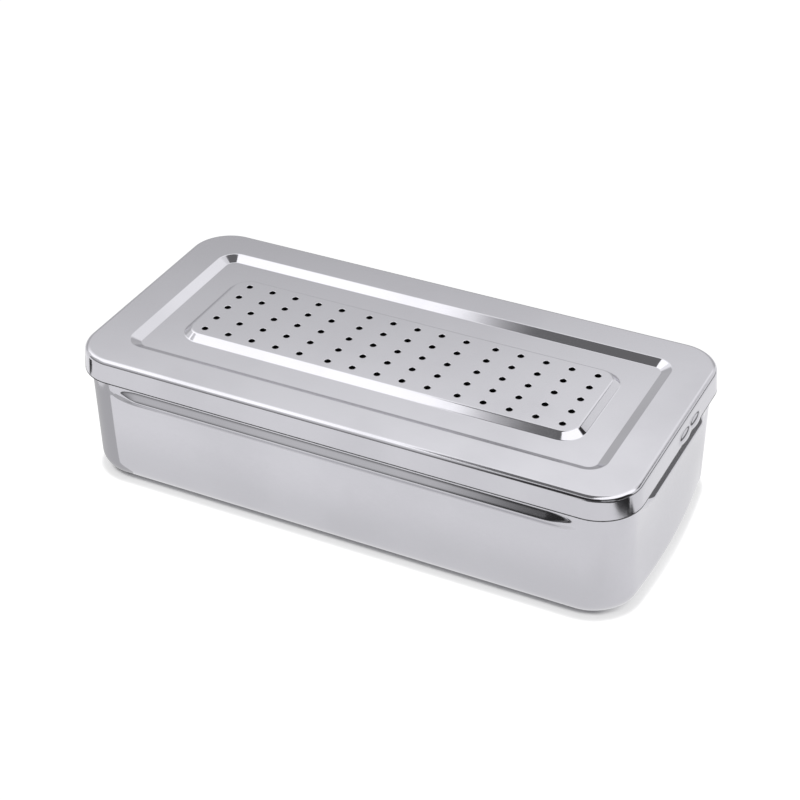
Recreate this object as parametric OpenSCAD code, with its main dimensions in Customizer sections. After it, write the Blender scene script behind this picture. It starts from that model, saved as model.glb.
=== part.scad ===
// Perforated instrument tray: a deep-drawn steel tray with a lift-off pressed lid.
// Millimetres, +Z up, +X along the length. The origin is the middle of the tray's underside.

/* [Lid] */
// Length of the lid at the top of its skirt
lid_length = 220; // [200:1:240]
// Width of the lid at the top of its skirt
lid_width = 105; // [100:0.5:116]
// Height of the lid's flat rim above the surface the tray stands on
rim_height = 53.8; // [44:0.2:64]
// Thickness of the sheet steel
sheet = 0.5; // [0.5:0.05:0.7]
// Height of the lid's turned-down skirt
skirt_height = 9.2; // [8.6:0.1:11]
// Outward flare of the skirt from upright, in degrees
skirt_flare = 4.5; // [2:0.5:6]
// Outside radius of the lid's upright corners at the top of the skirt
lid_corner = 16; // [14:0.5:19]
// Outside radius of the bend between rim and skirt
lid_edge_radius = 1.1; // [0.9:0.1:1.1]

/* [Lid recess] */
// Width of the flat rim at the two ends
rim_end_width = 14.9; // [13.5:0.1:16.5]
// Width of the flat rim along the two sides
rim_side_width = 14.4; // [13:0.1:16]
// Depth of the recess below the rim
recess_depth = 1.8; // [1.4:0.1:2.2]
// Run of the recess's sloping wall
recess_run = 3.7; // [3:0.1:4.4]
// Plan radius of the recess's corners at the rim
recess_corner = 7.5; // [6.5:0.5:9]
// Radius of the step bends at the middle of the sheet
step_bend = 0.9; // [0.7:0.1:1.1]

/* [Perforated panel] */
// Width of the recess floor between its own wall and the panel's wall, at the two ends
floor_end_width = 10.5; // [8:0.1:13]
// Width of the recess floor along the two sides
floor_side_width = 10.6; // [9:0.1:12]
// Rise of the panel above the recess floor
panel_rise = 2.2; // [1.8:0.1:2.6]
// Run of the panel's sloping wall
panel_run = 2.6; // [2.2:0.1:3.2]
// Plan radius of the panel's corners at its top
panel_corner = 6; // [4:0.5:7]
// Diameter of a punched hole
hole_diameter = 2.4; // [1.8:0.1:3]
// Distance from the panel's end to the middle of the first column of holes
hole_end_margin = 5.9; // [5:0.1:8]
// Distance from the panel's side to the middle of the first row of holes
hole_side_margin = 4.4; // [4:0.1:6]
// Extra distance between the neighbouring columns of two punched groups
group_space = 1.7; // [0:0.1:3]
// Number of punched groups along the length
hole_groups = 3; // [1:1:3]
// Columns of holes in one group
group_columns = 5; // [3:1:5]
// Rows of holes
hole_rows = 5; // [3:2:5]

/* [Tray] */
// Gap between the lid's skirt and the tray's rim
skirt_gap = 0.6; // [0.6:0.1:1]
// Outside radius of the tray's upright corners at the rim
tray_corner = 16.5; // [15:0.5:20]
// Lean of the tray's walls from upright, in degrees
wall_lean = 0.9; // [0.5:0.1:2]
// Outside radius of the bend between wall and floor
floor_bend = 6.2; // [5:0.2:9]

/* [Wall beads] */
// Height of the bead pressed out of each wall
bead_height = 5.8; // [5:0.2:6.2]
// How far a bead stands out of its wall
bead_depth = 2; // [1.4:0.1:2.2]
// Drop of the beads' middle below the skirt's lower edge
bead_drop = 4.8; // [3.8:0.1:6]
// Distance from a long wall's bead to the start of the tray's corner
bead_side_gap = 0.8; // [0.8:0.2:6]
// Distance from an end wall's bead to the start of the tray's corner
bead_end_gap = 3.2; // [0.8:0.2:8]

/* [Finger lifts] */
// Length of the finger lift pressed out of each end of the skirt
lift_length = 20; // [14:0.2:22]
// Height of the finger lift
lift_height = 4.8; // [4.2:0.2:5.2]
// How far the finger lift stands out of the skirt
lift_depth = 1.2; // [0.8:0.1:1.4]
// Height of the finger lift's middle above the skirt's lower edge
lift_rise = 2.8; // [2.8:0.1:3.6]
// Sideways offset of the finger lift from the middle of the end
lift_offset = 9.5; // [-16:0.5:16]

/* [Hidden] */
$fn = 72;
half = 0.5;
quarter_turn = 90;
half_turn = 180;
// Overshoot of a cutting shape past the face it cuts
past = 1;
// Straight steps that make up one small bend of a pressed shape
bend_steps = 5;
// Derived lengths are kept to this fine grid, so that neighbouring shapes meet exactly
grid = 0.001;

function on_grid(length) = round(length / grid) * grid;

// Radius of the rod that presses a shape of this half height and depth
function rod_radius(half_height, depth) = (half_height * half_height + depth * depth) / (2 * depth);

// Points along an arc
function arc(centre, radius, from, turn) =
    [for (step = [0 : bend_steps])
        let (angle = from + turn * step / bend_steps) centre + radius * [cos(angle), sin(angle)]];

lid_half_length = lid_length * half;
lid_half_width = lid_width * half;
skirt_bottom = rim_height - skirt_height;
rim_top_of_tray = rim_height - sheet;

// The tray's outline at its rim lies inside the skirt by the sheet and the gap
tray_inset = sheet + skirt_gap;
tray_axis_x = lid_half_length - tray_inset - tray_corner;
tray_axis_y = lid_half_width - tray_inset - tray_corner;
lid_axis_x = lid_half_length - lid_corner;
lid_axis_y = lid_half_width - lid_corner;

// The leaning wall starts at the top of the floor bend
wall_foot = on_grid(tray_corner - (rim_top_of_tray - floor_bend) * tan(wall_lean));
bend_centre = wall_foot - floor_bend;

// Recess, measured at the middle of the sheet
recess_axis_x = lid_half_length - rim_end_width - recess_corner;
recess_axis_y = lid_half_width - rim_side_width - recess_corner;
recess_foot = recess_corner - recess_run;
recess_level = rim_height - recess_depth;
recess_slope = atan(recess_depth / recess_run);
recess_tangent = on_grid(step_bend * tan(recess_slope * half));

// Raised panel, measured at the middle of the sheet, inside the recess floor
panel_half_length = on_grid(lid_half_length - rim_end_width - recess_run - floor_end_width - panel_run);
panel_half_width = on_grid(lid_half_width - rim_side_width - recess_run - floor_side_width - panel_run);
panel_axis_x = panel_half_length - panel_corner;
panel_axis_y = panel_half_width - panel_corner;
panel_foot = panel_corner + panel_run;
panel_level = recess_level + panel_rise;
panel_slope = atan(panel_rise / panel_run);
panel_tangent = on_grid(step_bend * tan(panel_slope * half));

// Holes stand in rows and in groups of columns, spread over the panel up to its margins
hole_span = 2 * (panel_half_length - hole_end_margin) - (hole_groups - 1) * group_space;
hole_pitch = on_grid(hole_span / (hole_groups * group_columns - 1));
row_pitch = on_grid(2 * (panel_half_width - hole_side_margin) / (hole_rows - 1));
group_step = group_columns * hole_pitch + group_space;

// The flared skirt starts at the lower end of the bend under the rim
skirt_top = rim_height - lid_edge_radius;
flare_run = on_grid((skirt_top - skirt_bottom) * tan(skirt_flare));
lift_middle = skirt_bottom + lift_rise;
bead_middle = skirt_bottom - bead_drop;

// Flat shapes

// Rectangle with round corners, given the corner axes and the corner radius
module rounded_outline(axis_x, axis_y, radius) {
    square([2 * (axis_x + radius), 2 * axis_y], center = true);
    square([2 * axis_x, 2 * (axis_y + radius)], center = true);
    for (side_x = [-1, 1], side_y = [-1, 1])
        translate([side_x * axis_x, side_y * axis_y])
            circle(radius);
}

// Section of sheet bent through a right angle
module quarter_bend(radius) {
    intersection() {
        difference() {
            circle(radius);
            circle(radius - sheet);
        }
        square(radius + past);
    }
}

// Section of a sloping step in the sheet, from its outer end at radius and level inwards to its inner end.
// The sheet lies below the levels, and the radius is where the sloping and the flat middle lines meet.
module step_section(radius, level, run, rise, slope, tangent) {
    up = sign(rise);
    middle = level - sheet * half;
    inner = step_bend - sheet * half;
    outer = step_bend + sheet * half;
    first = [radius + tangent, middle + up * step_bend];
    last = [radius - run - tangent, middle + rise - up * step_bend];
    first_from = up > 0 ? -quarter_turn : quarter_turn;
    last_from = -first_from - up * slope;
    polygon(concat(
        arc(first, up > 0 ? inner : outer, first_from, -up * slope),
        arc(last, up > 0 ? outer : inner, last_from, up * slope),
        arc(last, up > 0 ? inner : outer, last_from + up * slope, -up * slope),
        arc(first, up > 0 ? outer : inner, first_from - up * slope, up * slope)
    ));
}

// Section of the skirt: the bend under the rim, then the flared sheet down to its cut edge
module skirt_section() {
    translate([lid_corner - lid_edge_radius, skirt_top])
        quarter_bend(lid_edge_radius);
    polygon([
        [lid_corner, skirt_top],
        [lid_corner + flare_run, skirt_bottom],
        [lid_corner + flare_run - sheet, skirt_bottom],
        [lid_corner - sheet, skirt_top]
    ]);
}

// Section of the tray's wall: floor bend, then the leaning wall up to the cut rim
module wall_section() {
    rim = wall_foot + (rim_top_of_tray - floor_bend) * tan(wall_lean);
    translate([bend_centre, floor_bend])
        mirror([0, 1])
            quarter_bend(floor_bend);
    polygon([
        [wall_foot, floor_bend],
        [rim, rim_top_of_tray],
        [rim - sheet, rim_top_of_tray],
        [wall_foot - sheet, floor_bend]
    ]);
}

// Solid pieces

// Straight run of a section along Y, standing on the +X side
module straight_run(half_run) {
    translate([0, half_run, 0])
        rotate([quarter_turn, 0, 0])
            linear_extrude(height = 2 * half_run)
                children();
}

// The four corners of a section carried round a rectangle of corner axes
module corner_runs(axis_x, axis_y) {
    for (turn = [0, half_turn])
        rotate([0, 0, turn]) {
            translate([axis_x, axis_y, 0])
                rotate_extrude(angle = quarter_turn)
                    children();
            translate([-axis_x, axis_y, 0])
                rotate([0, 0, quarter_turn])
                    rotate_extrude(angle = quarter_turn)
                        children();
        }
}

// A plain section carried all the way round a rectangle of corner axes
module whole_run(axis_x, axis_y) {
    corner_runs(axis_x, axis_y)
        children();
    for (turn = [0, half_turn])
        rotate([0, 0, turn]) {
            translate([axis_x, 0, 0])
                straight_run(axis_y)
                    children();
            rotate([0, 0, quarter_turn])
                translate([axis_y, 0, 0])
                    straight_run(axis_x)
                        children();
        }
}

// Rod with ball ends along Y
module ball_ended_rod(radius, half_straight) {
    rotate([quarter_turn, 0, 0])
        cylinder(h = 2 * half_straight, r = radius, center = true);
    for (side = [-1, 1])
        translate([0, side * half_straight, 0])
            sphere(radius);
}

// Solid of a shape pressed out towards +X: the part of a ball-ended rod that stands out of the sheet
module pressed_out(half_height, depth, half_straight) {
    rod = rod_radius(half_height, depth);
    half_reach = half_straight + rod;
    intersection() {
        translate([depth - rod, 0, 0])
            ball_ended_rod(rod, half_straight);
        translate([-sheet * half, -half_reach, -rod])
            cube([rod, 2 * half_reach, 2 * rod]);
    }
}

// Hollow behind a shape pressed out, on the same axis, so that the sheet keeps its thickness there
module pressed_hollow(half_height, depth, half_straight) {
    rod = rod_radius(half_height, depth);
    translate([depth - rod, 0, 0])
        ball_ended_rod(rod - sheet, half_straight);
}

// One straight wall of the tray on the +X side, with the bead pressed out of it
module beaded_wall(half_run, end_gap) {
    half_height = bead_height * half;
    half_straight = half_run - end_gap - half_height;
    face = wall_foot + (bead_middle - floor_bend) * tan(wall_lean);
    difference() {
        union() {
            straight_run(half_run)
                wall_section();
            translate([face, 0, bead_middle])
                rotate([0, wall_lean, 0])
                    pressed_out(half_height, bead_depth, half_straight);
        }
        translate([face, 0, bead_middle])
            rotate([0, wall_lean, 0])
                pressed_hollow(half_height, bead_depth, half_straight);
    }
}

// One end of the skirt on the +X side, with the finger lift pressed out of it
module skirt_end() {
    half_height = lift_height * half;
    half_straight = lift_length * half - half_height;
    face = lid_corner + (skirt_top - lift_middle) * tan(skirt_flare);
    difference() {
        union() {
            straight_run(lid_axis_y)
                skirt_section();
            translate([face, lift_offset, lift_middle])
                rotate([0, -skirt_flare, 0])
                    pressed_out(half_height, lift_depth, half_straight);
        }
        translate([face, lift_offset, lift_middle])
            rotate([0, -skirt_flare, 0])
                pressed_hollow(half_height, lift_depth, half_straight);
    }
}

// Centres of the punched holes
module at_each_hole() {
    for (group = [0 : hole_groups - 1], column = [0 : group_columns - 1], row = [0 : hole_rows - 1])
        translate([
            (group - (hole_groups - 1) * half) * group_step
                + (column - (group_columns - 1) * half) * hole_pitch,
            (row - (hole_rows - 1) * half) * row_pitch
        ])
            children();
}

// Pieces

// Deep-drawn tray: floor, leaning walls and a bead pressed out of each wall
module tray() {
    color([0.78, 0.79, 0.81]) {
        linear_extrude(height = sheet)
            rounded_outline(tray_axis_x, tray_axis_y, bend_centre);
        corner_runs(tray_axis_x, tray_axis_y)
            wall_section();
        for (turn = [0, half_turn])
            rotate([0, 0, turn]) {
                translate([tray_axis_x, 0, 0])
                    beaded_wall(tray_axis_y, bead_end_gap);
                rotate([0, 0, quarter_turn])
                    translate([tray_axis_y, 0, 0])
                        beaded_wall(tray_axis_x, bead_side_gap);
            }
    }
}

// Pressed lid: skirt with two finger lifts, flat rim, recess and raised perforated panel
module lid() {
    color([0.82, 0.83, 0.85]) {
        corner_runs(lid_axis_x, lid_axis_y)
            skirt_section();
        for (turn = [0, half_turn])
            rotate([0, 0, turn + quarter_turn])
                translate([lid_axis_y, 0, 0])
                    straight_run(lid_axis_x)
                        skirt_section();
        for (side = [0, 1])
            mirror([side, 0, 0])
                translate([lid_axis_x, 0, 0])
                    skirt_end();
        translate([0, 0, rim_height - sheet])
            linear_extrude(height = sheet)
                difference() {
                    rounded_outline(lid_axis_x, lid_axis_y, lid_corner - lid_edge_radius);
                    rounded_outline(recess_axis_x, recess_axis_y, recess_corner + recess_tangent);
                }
        whole_run(recess_axis_x, recess_axis_y)
            step_section(recess_corner, rim_height, recess_run, -recess_depth, recess_slope, recess_tangent);
        translate([0, 0, recess_level - sheet])
            linear_extrude(height = sheet)
                difference() {
                    rounded_outline(recess_axis_x, recess_axis_y, recess_foot - recess_tangent);
                    rounded_outline(panel_axis_x, panel_axis_y, panel_foot + panel_tangent);
                }
        whole_run(panel_axis_x, panel_axis_y)
            step_section(panel_foot, recess_level, panel_run, panel_rise, panel_slope, panel_tangent);
        translate([0, 0, panel_level - sheet])
            linear_extrude(height = sheet)
                difference() {
                    rounded_outline(panel_axis_x, panel_axis_y, panel_corner - panel_tangent);
                    at_each_hole()
                        circle(hole_diameter * half);
                }
    }
}

tray();
lid();
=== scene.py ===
"""Perforated instrument tray: the polished steel surfaces, their finishes and a plain studio."""
import math

import bpy
import numpy as np
from bpy.props import FloatProperty, FloatVectorProperty, IntProperty, PointerProperty
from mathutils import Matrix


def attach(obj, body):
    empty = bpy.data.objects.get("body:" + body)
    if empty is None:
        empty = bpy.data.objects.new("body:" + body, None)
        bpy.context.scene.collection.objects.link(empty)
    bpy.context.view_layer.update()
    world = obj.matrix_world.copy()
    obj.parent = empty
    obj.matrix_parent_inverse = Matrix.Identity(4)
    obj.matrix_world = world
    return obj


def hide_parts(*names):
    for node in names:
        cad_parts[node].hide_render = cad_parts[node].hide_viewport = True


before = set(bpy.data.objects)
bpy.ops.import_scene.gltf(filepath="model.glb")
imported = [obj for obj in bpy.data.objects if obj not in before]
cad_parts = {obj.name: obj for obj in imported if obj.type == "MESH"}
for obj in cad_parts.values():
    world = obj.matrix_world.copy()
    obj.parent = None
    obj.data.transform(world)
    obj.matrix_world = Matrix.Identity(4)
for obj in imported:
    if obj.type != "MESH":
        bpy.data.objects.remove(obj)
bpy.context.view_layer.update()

bl_info = {
    "name": "Perforated instrument tray",
    "version": (1, 0, 0),
    "blender": (4, 5, 0),
    "location": "3D View > Sidebar > Instrument tray",
    "description": "Makes a polished steel instrument tray with a perforated lift-off lid, and its studio",
    "category": "Object",
}

QUARTER_TURN = math.pi / 2
FULL_TURN = 2 * math.pi
HALF = 0.5

# Fineness of the surfaces: steps of a bend, of an upright corner and of a cut edge's rounding
BEND_STEPS = 10
CORNER_STEPS = 28
EDGE_STEPS = 4
# Rows of points on the skirt, and on the tray's walls across the beads and away from them
SKIRT_ROWS = 36
BEAD_ROWS = 64
PLAIN_ROWS = 6
# Points along a plain run, and along the end of a pressed shape or half of a short one
PLAIN_MARKS = 9
PRESS_MARKS = 30
# Points along each side of the square field round a hole
FIELD_MARKS = 6
# A row this close to a bend keeps the flat beside it flat in the shading
SUPPORT = 0.00012
# Rounding of the skirt's cut edge, of the tray's rim, and of the upper and lower edge of a punched hole
SHEAR_ROUNDING = 0.00012
RIM_ROUNDING = 0.00024
PUNCH_ROUNDING = 0.00018
BURR_ROUNDING = 0.00005
# Gap between the tray's rim and the lid's underside
RIM_CLEARANCE = 0.0002
# Depth over which the edge of a pressed shape blends into its wall
BEAD_BLEND = 0.0005
LIFT_BLEND = 0.0003
# Reach of the fine rows and columns past a pressed shape
PRESS_MARGIN = 0.0012
# Points closer than this are one point
WELD = 1e-7

# Columns of a profile's rows, after the two corner axes: distance out from them, and level
RADIUS, LEVEL = 2, 3

# Places of the finishes in a piece's list of materials
OUTSIDE, INSIDE, CUT = 0, 1, 2
# Bands of faces down to the skirt's cut edge that share its dark finish, as a painted shadow line under the
# skirt
PAINTED_SHADOW_BANDS = 3
# Bands of faces under a punched hole that have the inside's finish
UNDERSIDE_BANDS = 2

# Width of the camera's sensor in millimetres
SENSOR_WIDTH = 36.0


class LidSizes(bpy.types.PropertyGroup):
    """Sizes of the lid."""

    length: FloatProperty(name="Length", description="Length at the top of the skirt",
                          default=0.220, unit="LENGTH")
    width: FloatProperty(name="Width", description="Width at the top of the skirt",
                         default=0.105, unit="LENGTH")
    rim_height: FloatProperty(name="Rim height", description="Height of the flat rim above the table",
                              default=0.0538, unit="LENGTH")
    sheet: FloatProperty(name="Sheet", description="Thickness of the sheet steel",
                         default=0.0005, unit="LENGTH")
    skirt_height: FloatProperty(name="Skirt height", description="Height of the turned-down skirt",
                                default=0.0092, unit="LENGTH")
    skirt_flare: FloatProperty(name="Skirt flare", description="Outward flare of the skirt from upright",
                               default=math.radians(4.5), unit="ROTATION")
    corner: FloatProperty(name="Corner", description="Outside radius of the upright corners",
                          default=0.016, unit="LENGTH")
    edge_radius: FloatProperty(name="Edge radius", description="Outside radius of the bend under the rim",
                               default=0.0019, unit="LENGTH")
    rim_end_width: FloatProperty(name="Rim at the ends", description="Width of the flat rim at the ends",
                                 default=0.0149, unit="LENGTH")
    rim_side_width: FloatProperty(name="Rim at the sides", description="Width of the flat rim at the sides",
                                  default=0.0144, unit="LENGTH")
    recess_depth: FloatProperty(name="Recess depth", description="Depth of the recess below the rim",
                                default=0.0018, unit="LENGTH")
    recess_run: FloatProperty(name="Recess run", description="Run of the recess's sloping wall",
                              default=0.0037, unit="LENGTH")
    recess_corner: FloatProperty(name="Recess corner", description="Plan radius of the recess's corners",
                                 default=0.0075, unit="LENGTH")
    step_bend: FloatProperty(name="Step bend", description="Radius of the step bends at mid sheet",
                             default=0.0009, unit="LENGTH")
    panel_length: FloatProperty(name="Panel length", description="Length of the raised panel",
                                default=0.1566, unit="LENGTH")
    panel_width: FloatProperty(name="Panel width", description="Width of the raised panel",
                               default=0.0424, unit="LENGTH")
    panel_rise: FloatProperty(name="Panel rise", description="Rise of the panel above the recess",
                              default=0.0022, unit="LENGTH")
    panel_run: FloatProperty(name="Panel run", description="Run of the panel's sloping wall",
                             default=0.0026, unit="LENGTH")
    panel_corner: FloatProperty(name="Panel corner", description="Plan radius of the panel's corners",
                                default=0.006, unit="LENGTH")
    hole_diameter: FloatProperty(name="Hole diameter", description="Diameter of a punched hole",
                                 default=0.0024, unit="LENGTH")
    hole_pitch: FloatProperty(name="Hole pitch", description="Distance between holes in a group",
                              default=0.0101, unit="LENGTH")
    group_gap: FloatProperty(name="Group gap", description="Distance between columns of two groups",
                             default=0.0118, unit="LENGTH")
    row_pitch: FloatProperty(name="Row pitch", description="Distance between rows of holes",
                             default=0.0084, unit="LENGTH")
    hole_groups: IntProperty(name="Hole groups", description="Punched groups along the length", default=3)
    group_columns: IntProperty(name="Group columns", description="Columns of holes in a group", default=5)
    hole_rows: IntProperty(name="Hole rows", description="Rows of holes", default=5)
    field_end: FloatProperty(name="Field end", description="Punched field past the last column",
                             default=0.0034, unit="LENGTH")
    field_side: FloatProperty(name="Field side", description="Punched field past the last row",
                              default=0.0026, unit="LENGTH")
    lift_length: FloatProperty(name="Lift length", description="Length of the finger lift",
                               default=0.023, unit="LENGTH")
    lift_height: FloatProperty(name="Lift height", description="Height of the finger lift",
                               default=0.0048, unit="LENGTH")
    lift_depth: FloatProperty(name="Lift depth", description="How far the finger lift stands out",
                              default=0.0012, unit="LENGTH")
    lift_rise: FloatProperty(name="Lift rise", description="Finger lift's middle above the skirt's edge",
                             default=0.0028, unit="LENGTH")
    lift_offset: FloatProperty(name="Lift offset", description="Finger lift's place off the end's middle",
                               default=0.0095, unit="LENGTH")
    lift_overlap: FloatProperty(name="Lift overlap", description="Overlap of the finger lift's two lobes",
                                default=0.0012, unit="LENGTH")


class TraySizes(bpy.types.PropertyGroup):
    """Sizes of the tray."""

    skirt_gap: FloatProperty(name="Skirt gap", description="Gap between the lid's skirt and the rim",
                             default=0.0006, unit="LENGTH")
    corner: FloatProperty(name="Corner", description="Outside radius of the upright corners at the rim",
                          default=0.0165, unit="LENGTH")
    wall_lean: FloatProperty(name="Wall lean", description="Lean of the walls from upright",
                             default=math.radians(0.9), unit="ROTATION")
    floor_bend: FloatProperty(name="Floor bend", description="Outside radius of the bend above the floor",
                              default=0.0074, unit="LENGTH")
    bead_height: FloatProperty(name="Bead height", description="Height of the pressed beads",
                               default=0.0058, unit="LENGTH")
    bead_depth: FloatProperty(name="Bead depth", description="How far a bead stands out of its wall",
                              default=0.002, unit="LENGTH")
    bead_slope: FloatProperty(name="Bead slope", description="Slope of the beads' sides",
                              default=math.radians(37.0), unit="ROTATION")
    bead_drop: FloatProperty(name="Bead drop", description="Bead's middle below the skirt's edge",
                             default=0.0048, unit="LENGTH")
    bead_side_gap: FloatProperty(name="Side bead gap", description="Side bead to the corner's start",
                                 default=0.0002, unit="LENGTH")
    bead_end_gap: FloatProperty(name="End bead gap", description="End bead to the corner's start",
                                default=0.0032, unit="LENGTH")
    side_run_out: FloatProperty(name="Side run-out", description="Length over which a side bead tapers off",
                                default=0.011, unit="LENGTH")
    end_run_out: FloatProperty(name="End run-out", description="Length over which an end bead tapers off",
                               default=0.008, unit="LENGTH")
    end_bow: FloatProperty(name="End bow", description="How far the foot of an end wall bows out",
                           default=0.0031, unit="LENGTH")
    bow_lead: FloatProperty(name="Bow lead", description="How far off the end's middle the bow is greatest",
                            default=0.008, unit="LENGTH")
    bow_height: FloatProperty(name="Bow height", description="Height at which the bow of an end has ended",
                              default=0.034, unit="LENGTH")


class SteelFinish(bpy.types.PropertyGroup):
    """Colours and polish of the steel."""

    polished: FloatVectorProperty(name="Polished", description="Clean polished steel", subtype="COLOR",
                                  default=(0.585, 0.580, 0.617), min=0.0, max=1.0)
    dulled: FloatVectorProperty(name="Dulled", description="Steel dulled by handling", subtype="COLOR",
                                default=(0.545, 0.540, 0.575), min=0.0, max=1.0)
    satin: FloatVectorProperty(name="Satin", description="Unpolished inside of the sheet", subtype="COLOR",
                               default=(0.340, 0.343, 0.350), min=0.0, max=1.0)
    stained: FloatVectorProperty(name="Stained", description="Water marks on the satin steel",
                                 subtype="COLOR", default=(0.290, 0.292, 0.298), min=0.0, max=1.0)
    # Cut-edge tones: the dull sheared steel, and painted shade where the skirt's lowest bands wear them as a
    # shadow line
    sheared_and_shade: FloatVectorProperty(name="Sheared", description="Bright part of a cut edge", subtype="COLOR",
                                 default=(0.180, 0.180, 0.186), min=0.0, max=1.0)
    torn_and_shade: FloatVectorProperty(name="Torn", description="Dark part of a cut edge", subtype="COLOR",
                              default=(0.060, 0.060, 0.064), min=0.0, max=1.0)
    polish_roughness: FloatProperty(name="Polished roughness", description="Roughness of clean polish",
                                    default=0.065, min=0.0, max=1.0, subtype="FACTOR")
    dulled_roughness: FloatProperty(name="Dulled roughness", description="Roughness where handled",
                                    default=0.13, min=0.0, max=1.0, subtype="FACTOR")
    satin_roughness: FloatProperty(name="Satin roughness", description="Roughness of the inside",
                                   default=0.44, min=0.0, max=1.0, subtype="FACTOR")
    stained_roughness: FloatProperty(name="Stained roughness", description="Roughness of water marks",
                                     default=0.52, min=0.0, max=1.0, subtype="FACTOR")


class StudioSettings(bpy.types.PropertyGroup):
    """Camera, floor and lights."""

    camera_place: FloatVectorProperty(name="Camera place", description="Where the camera stands",
                                      subtype="TRANSLATION", default=(0.27089, -0.53788, 0.43929))
    camera_turn: FloatVectorProperty(name="Camera turn", description="How the camera is turned",
                                     subtype="EULER",
                                     default=tuple(map(math.radians, (55.9706, 0.4505, 26.3574))))
    lens: FloatProperty(name="Lens", description="Focal length in millimetres on a 36 mm sensor",
                        default=87.356, min=1.0)
    floor_tone: FloatVectorProperty(name="Floor", description="Colour of the floor", subtype="COLOR",
                                    default=(0.55, 0.55, 0.555), min=0.0, max=1.0)
    floor_reach: FloatProperty(name="Floor reach", description="Half the width of the floor",
                               default=6.0, unit="LENGTH")
    floor_lift: FloatProperty(name="Floor lift", description="White added to the floor for the picture",
                              default=1.02, min=0.0, max=2.0)
    # The floor's lift to white fades near the tray: a painted contact shadow
    contact_reach: FloatProperty(name="Contact reach", description="Reach of the dark line under the tray",
                                 default=0.005, unit="LENGTH")
    ambient: FloatProperty(name="Ambient", description="Strength of the light from all round",
                           default=0.05, min=0.0, max=2.0)
    lamp_power: FloatProperty(name="Lamp power", description="Power of the large soft lamp",
                              default=0.25, min=0.0, unit="POWER")
    lamp_size: FloatProperty(name="Lamp size", description="Width of the large soft lamp",
                             default=0.9, unit="LENGTH")
    lamp_place: FloatVectorProperty(name="Lamp place", description="Where the lamp hangs",
                                    subtype="TRANSLATION", default=(-0.45, 0.25, 1.1))
    lamp_turn: FloatVectorProperty(name="Lamp turn", description="How the lamp is turned", subtype="EULER",
                                   default=tuple(map(math.radians, (-14.0, -22.0, 0.0))))


def smooth_greater(first, second, blend):
    """The greater of two values, with the change from one to the other rounded over the blend."""
    near = np.maximum(blend - np.abs(first - second), 0.0)
    return np.maximum(first, second) + near * near / (4 * blend)


def smooth_step(share):
    """A share from 0 to 1 that starts and ends level: three times its square less twice its cube."""
    return share * share * (3 - 2 * share)


def pressed_depth(distance, half_height, depth, blend):
    """Depth of a pressed shape at a distance from its middle line: a round rod's cap, blended at its edge."""
    rod = (half_height ** 2 + depth ** 2) / (2 * depth)
    cap = np.sqrt(np.maximum(rod ** 2 - distance ** 2, 0.0)) - (rod - depth)
    return smooth_greater(cap, 0.0, blend)


def sloped_depth(distance, half_height, depth, slope, blend):
    """Height of a pressed bead: a straight slope out from its edge to a flat crest, blended at both."""
    ramp = smooth_greater((half_height - distance) * math.tan(slope), 0.0, blend)
    return -smooth_greater(-ramp, -depth, blend)


def middle_line_distance(along, height, half_length, half_height, run_out):
    """Distance from a bead's middle line in the plane of a wall, shrunk along its long run-out ends."""
    past = np.maximum(np.abs(along) - half_length + run_out, 0.0)
    return np.hypot(past * half_height / run_out, height)


def ring_path(end_marks, side_marks):
    """Closed path round a rectangle with round corners, anticlockwise from the +X end.

    Each column has its share of the corner axes, which runs from -1 to 1 along a straight run and stays
    in a corner, and its outward direction in plan, which turns a quarter in a corner."""
    turns = np.linspace(0.0, QUARTER_TURN, CORNER_STEPS + 1)[1:-1]
    shares, outward = [], []
    for side, marks in enumerate((end_marks, -side_marks[::-1], -end_marks[::-1], side_marks)):
        facing = side * QUARTER_TURN
        out = np.round((math.cos(facing), math.sin(facing)))
        left = np.array((-out[1], out[0]))
        shares.append(out + marks[:, None] * left)
        shares.append(np.broadcast_to(out + left, (len(turns), 2)))
        outward.append(np.broadcast_to(out, (len(marks), 2)))
        outward.append(np.column_stack((np.cos(facing + turns), np.sin(facing + turns))))
    return np.concatenate(shares), np.concatenate(outward)


def section(axes, radius, level):
    """Rows of a profile: corner axes, distance out from them, and level."""
    radius, level = np.broadcast_arrays(np.atleast_1d(radius).astype(float), level)
    return np.column_stack((np.full(len(radius), axes[0]), np.full(len(radius), axes[1]), radius, level))


def bend(axes, centre, radius, start, turn, steps=BEND_STEPS):
    """Rows along an arc of a profile about a centre, from a start angle through a turn."""
    angle = start + turn * np.linspace(0.0, 1.0, steps + 1)
    return section(axes, centre[0] + radius * np.cos(angle), centre[1] + radius * np.sin(angle))


def carried(profile, path):
    """A profile carried round a path: share of the corner axes plus outward direction times radius."""
    shares, outward = path
    plan = profile[:, None, 0:2] * shares + profile[:, None, 2:3] * outward
    level = np.broadcast_to(profile[:, None, 3:4], plan.shape[:2] + (1,))
    return np.concatenate((plan, level), axis=2)


def grid_faces(rows, columns):
    """Four-cornered faces between neighbouring rows of a grid that closes on itself sideways."""
    start = np.arange(rows - 1)[:, None] * columns
    here = np.arange(columns)[None, :]
    beside = (here + 1) % columns
    corners = (start + here, start + columns + here, start + columns + beside, start + beside)
    return np.stack(corners, axis=2).reshape(-1, 4)


def fan_faces(pole, first, columns, upward):
    """Three-cornered faces from one pole to a closed row of points."""
    here = np.arange(columns)
    beside = (here + 1) % columns
    order = (here, beside) if upward else (beside, here)
    return np.column_stack((np.full(columns, pole), first + order[0], first + order[1]))


def side_place(points, half_length, half_width):
    """Place of plan points round a rectangle, as the side's number plus the share along that side."""
    x, y = points[:, 0] / half_length, points[:, 1] / half_width
    gap_x, gap_y = np.abs(points[:, 0]) - half_length, np.abs(points[:, 1]) - half_width
    end = gap_x > gap_y
    side = np.where(end, np.where(x > 0, 0, 2), np.where(y > 0, 1, 3))
    along = np.choose(side, (y, -x, -y, x))
    return side + (np.clip(along, -1.0, 1.0) + 1) * HALF


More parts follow.
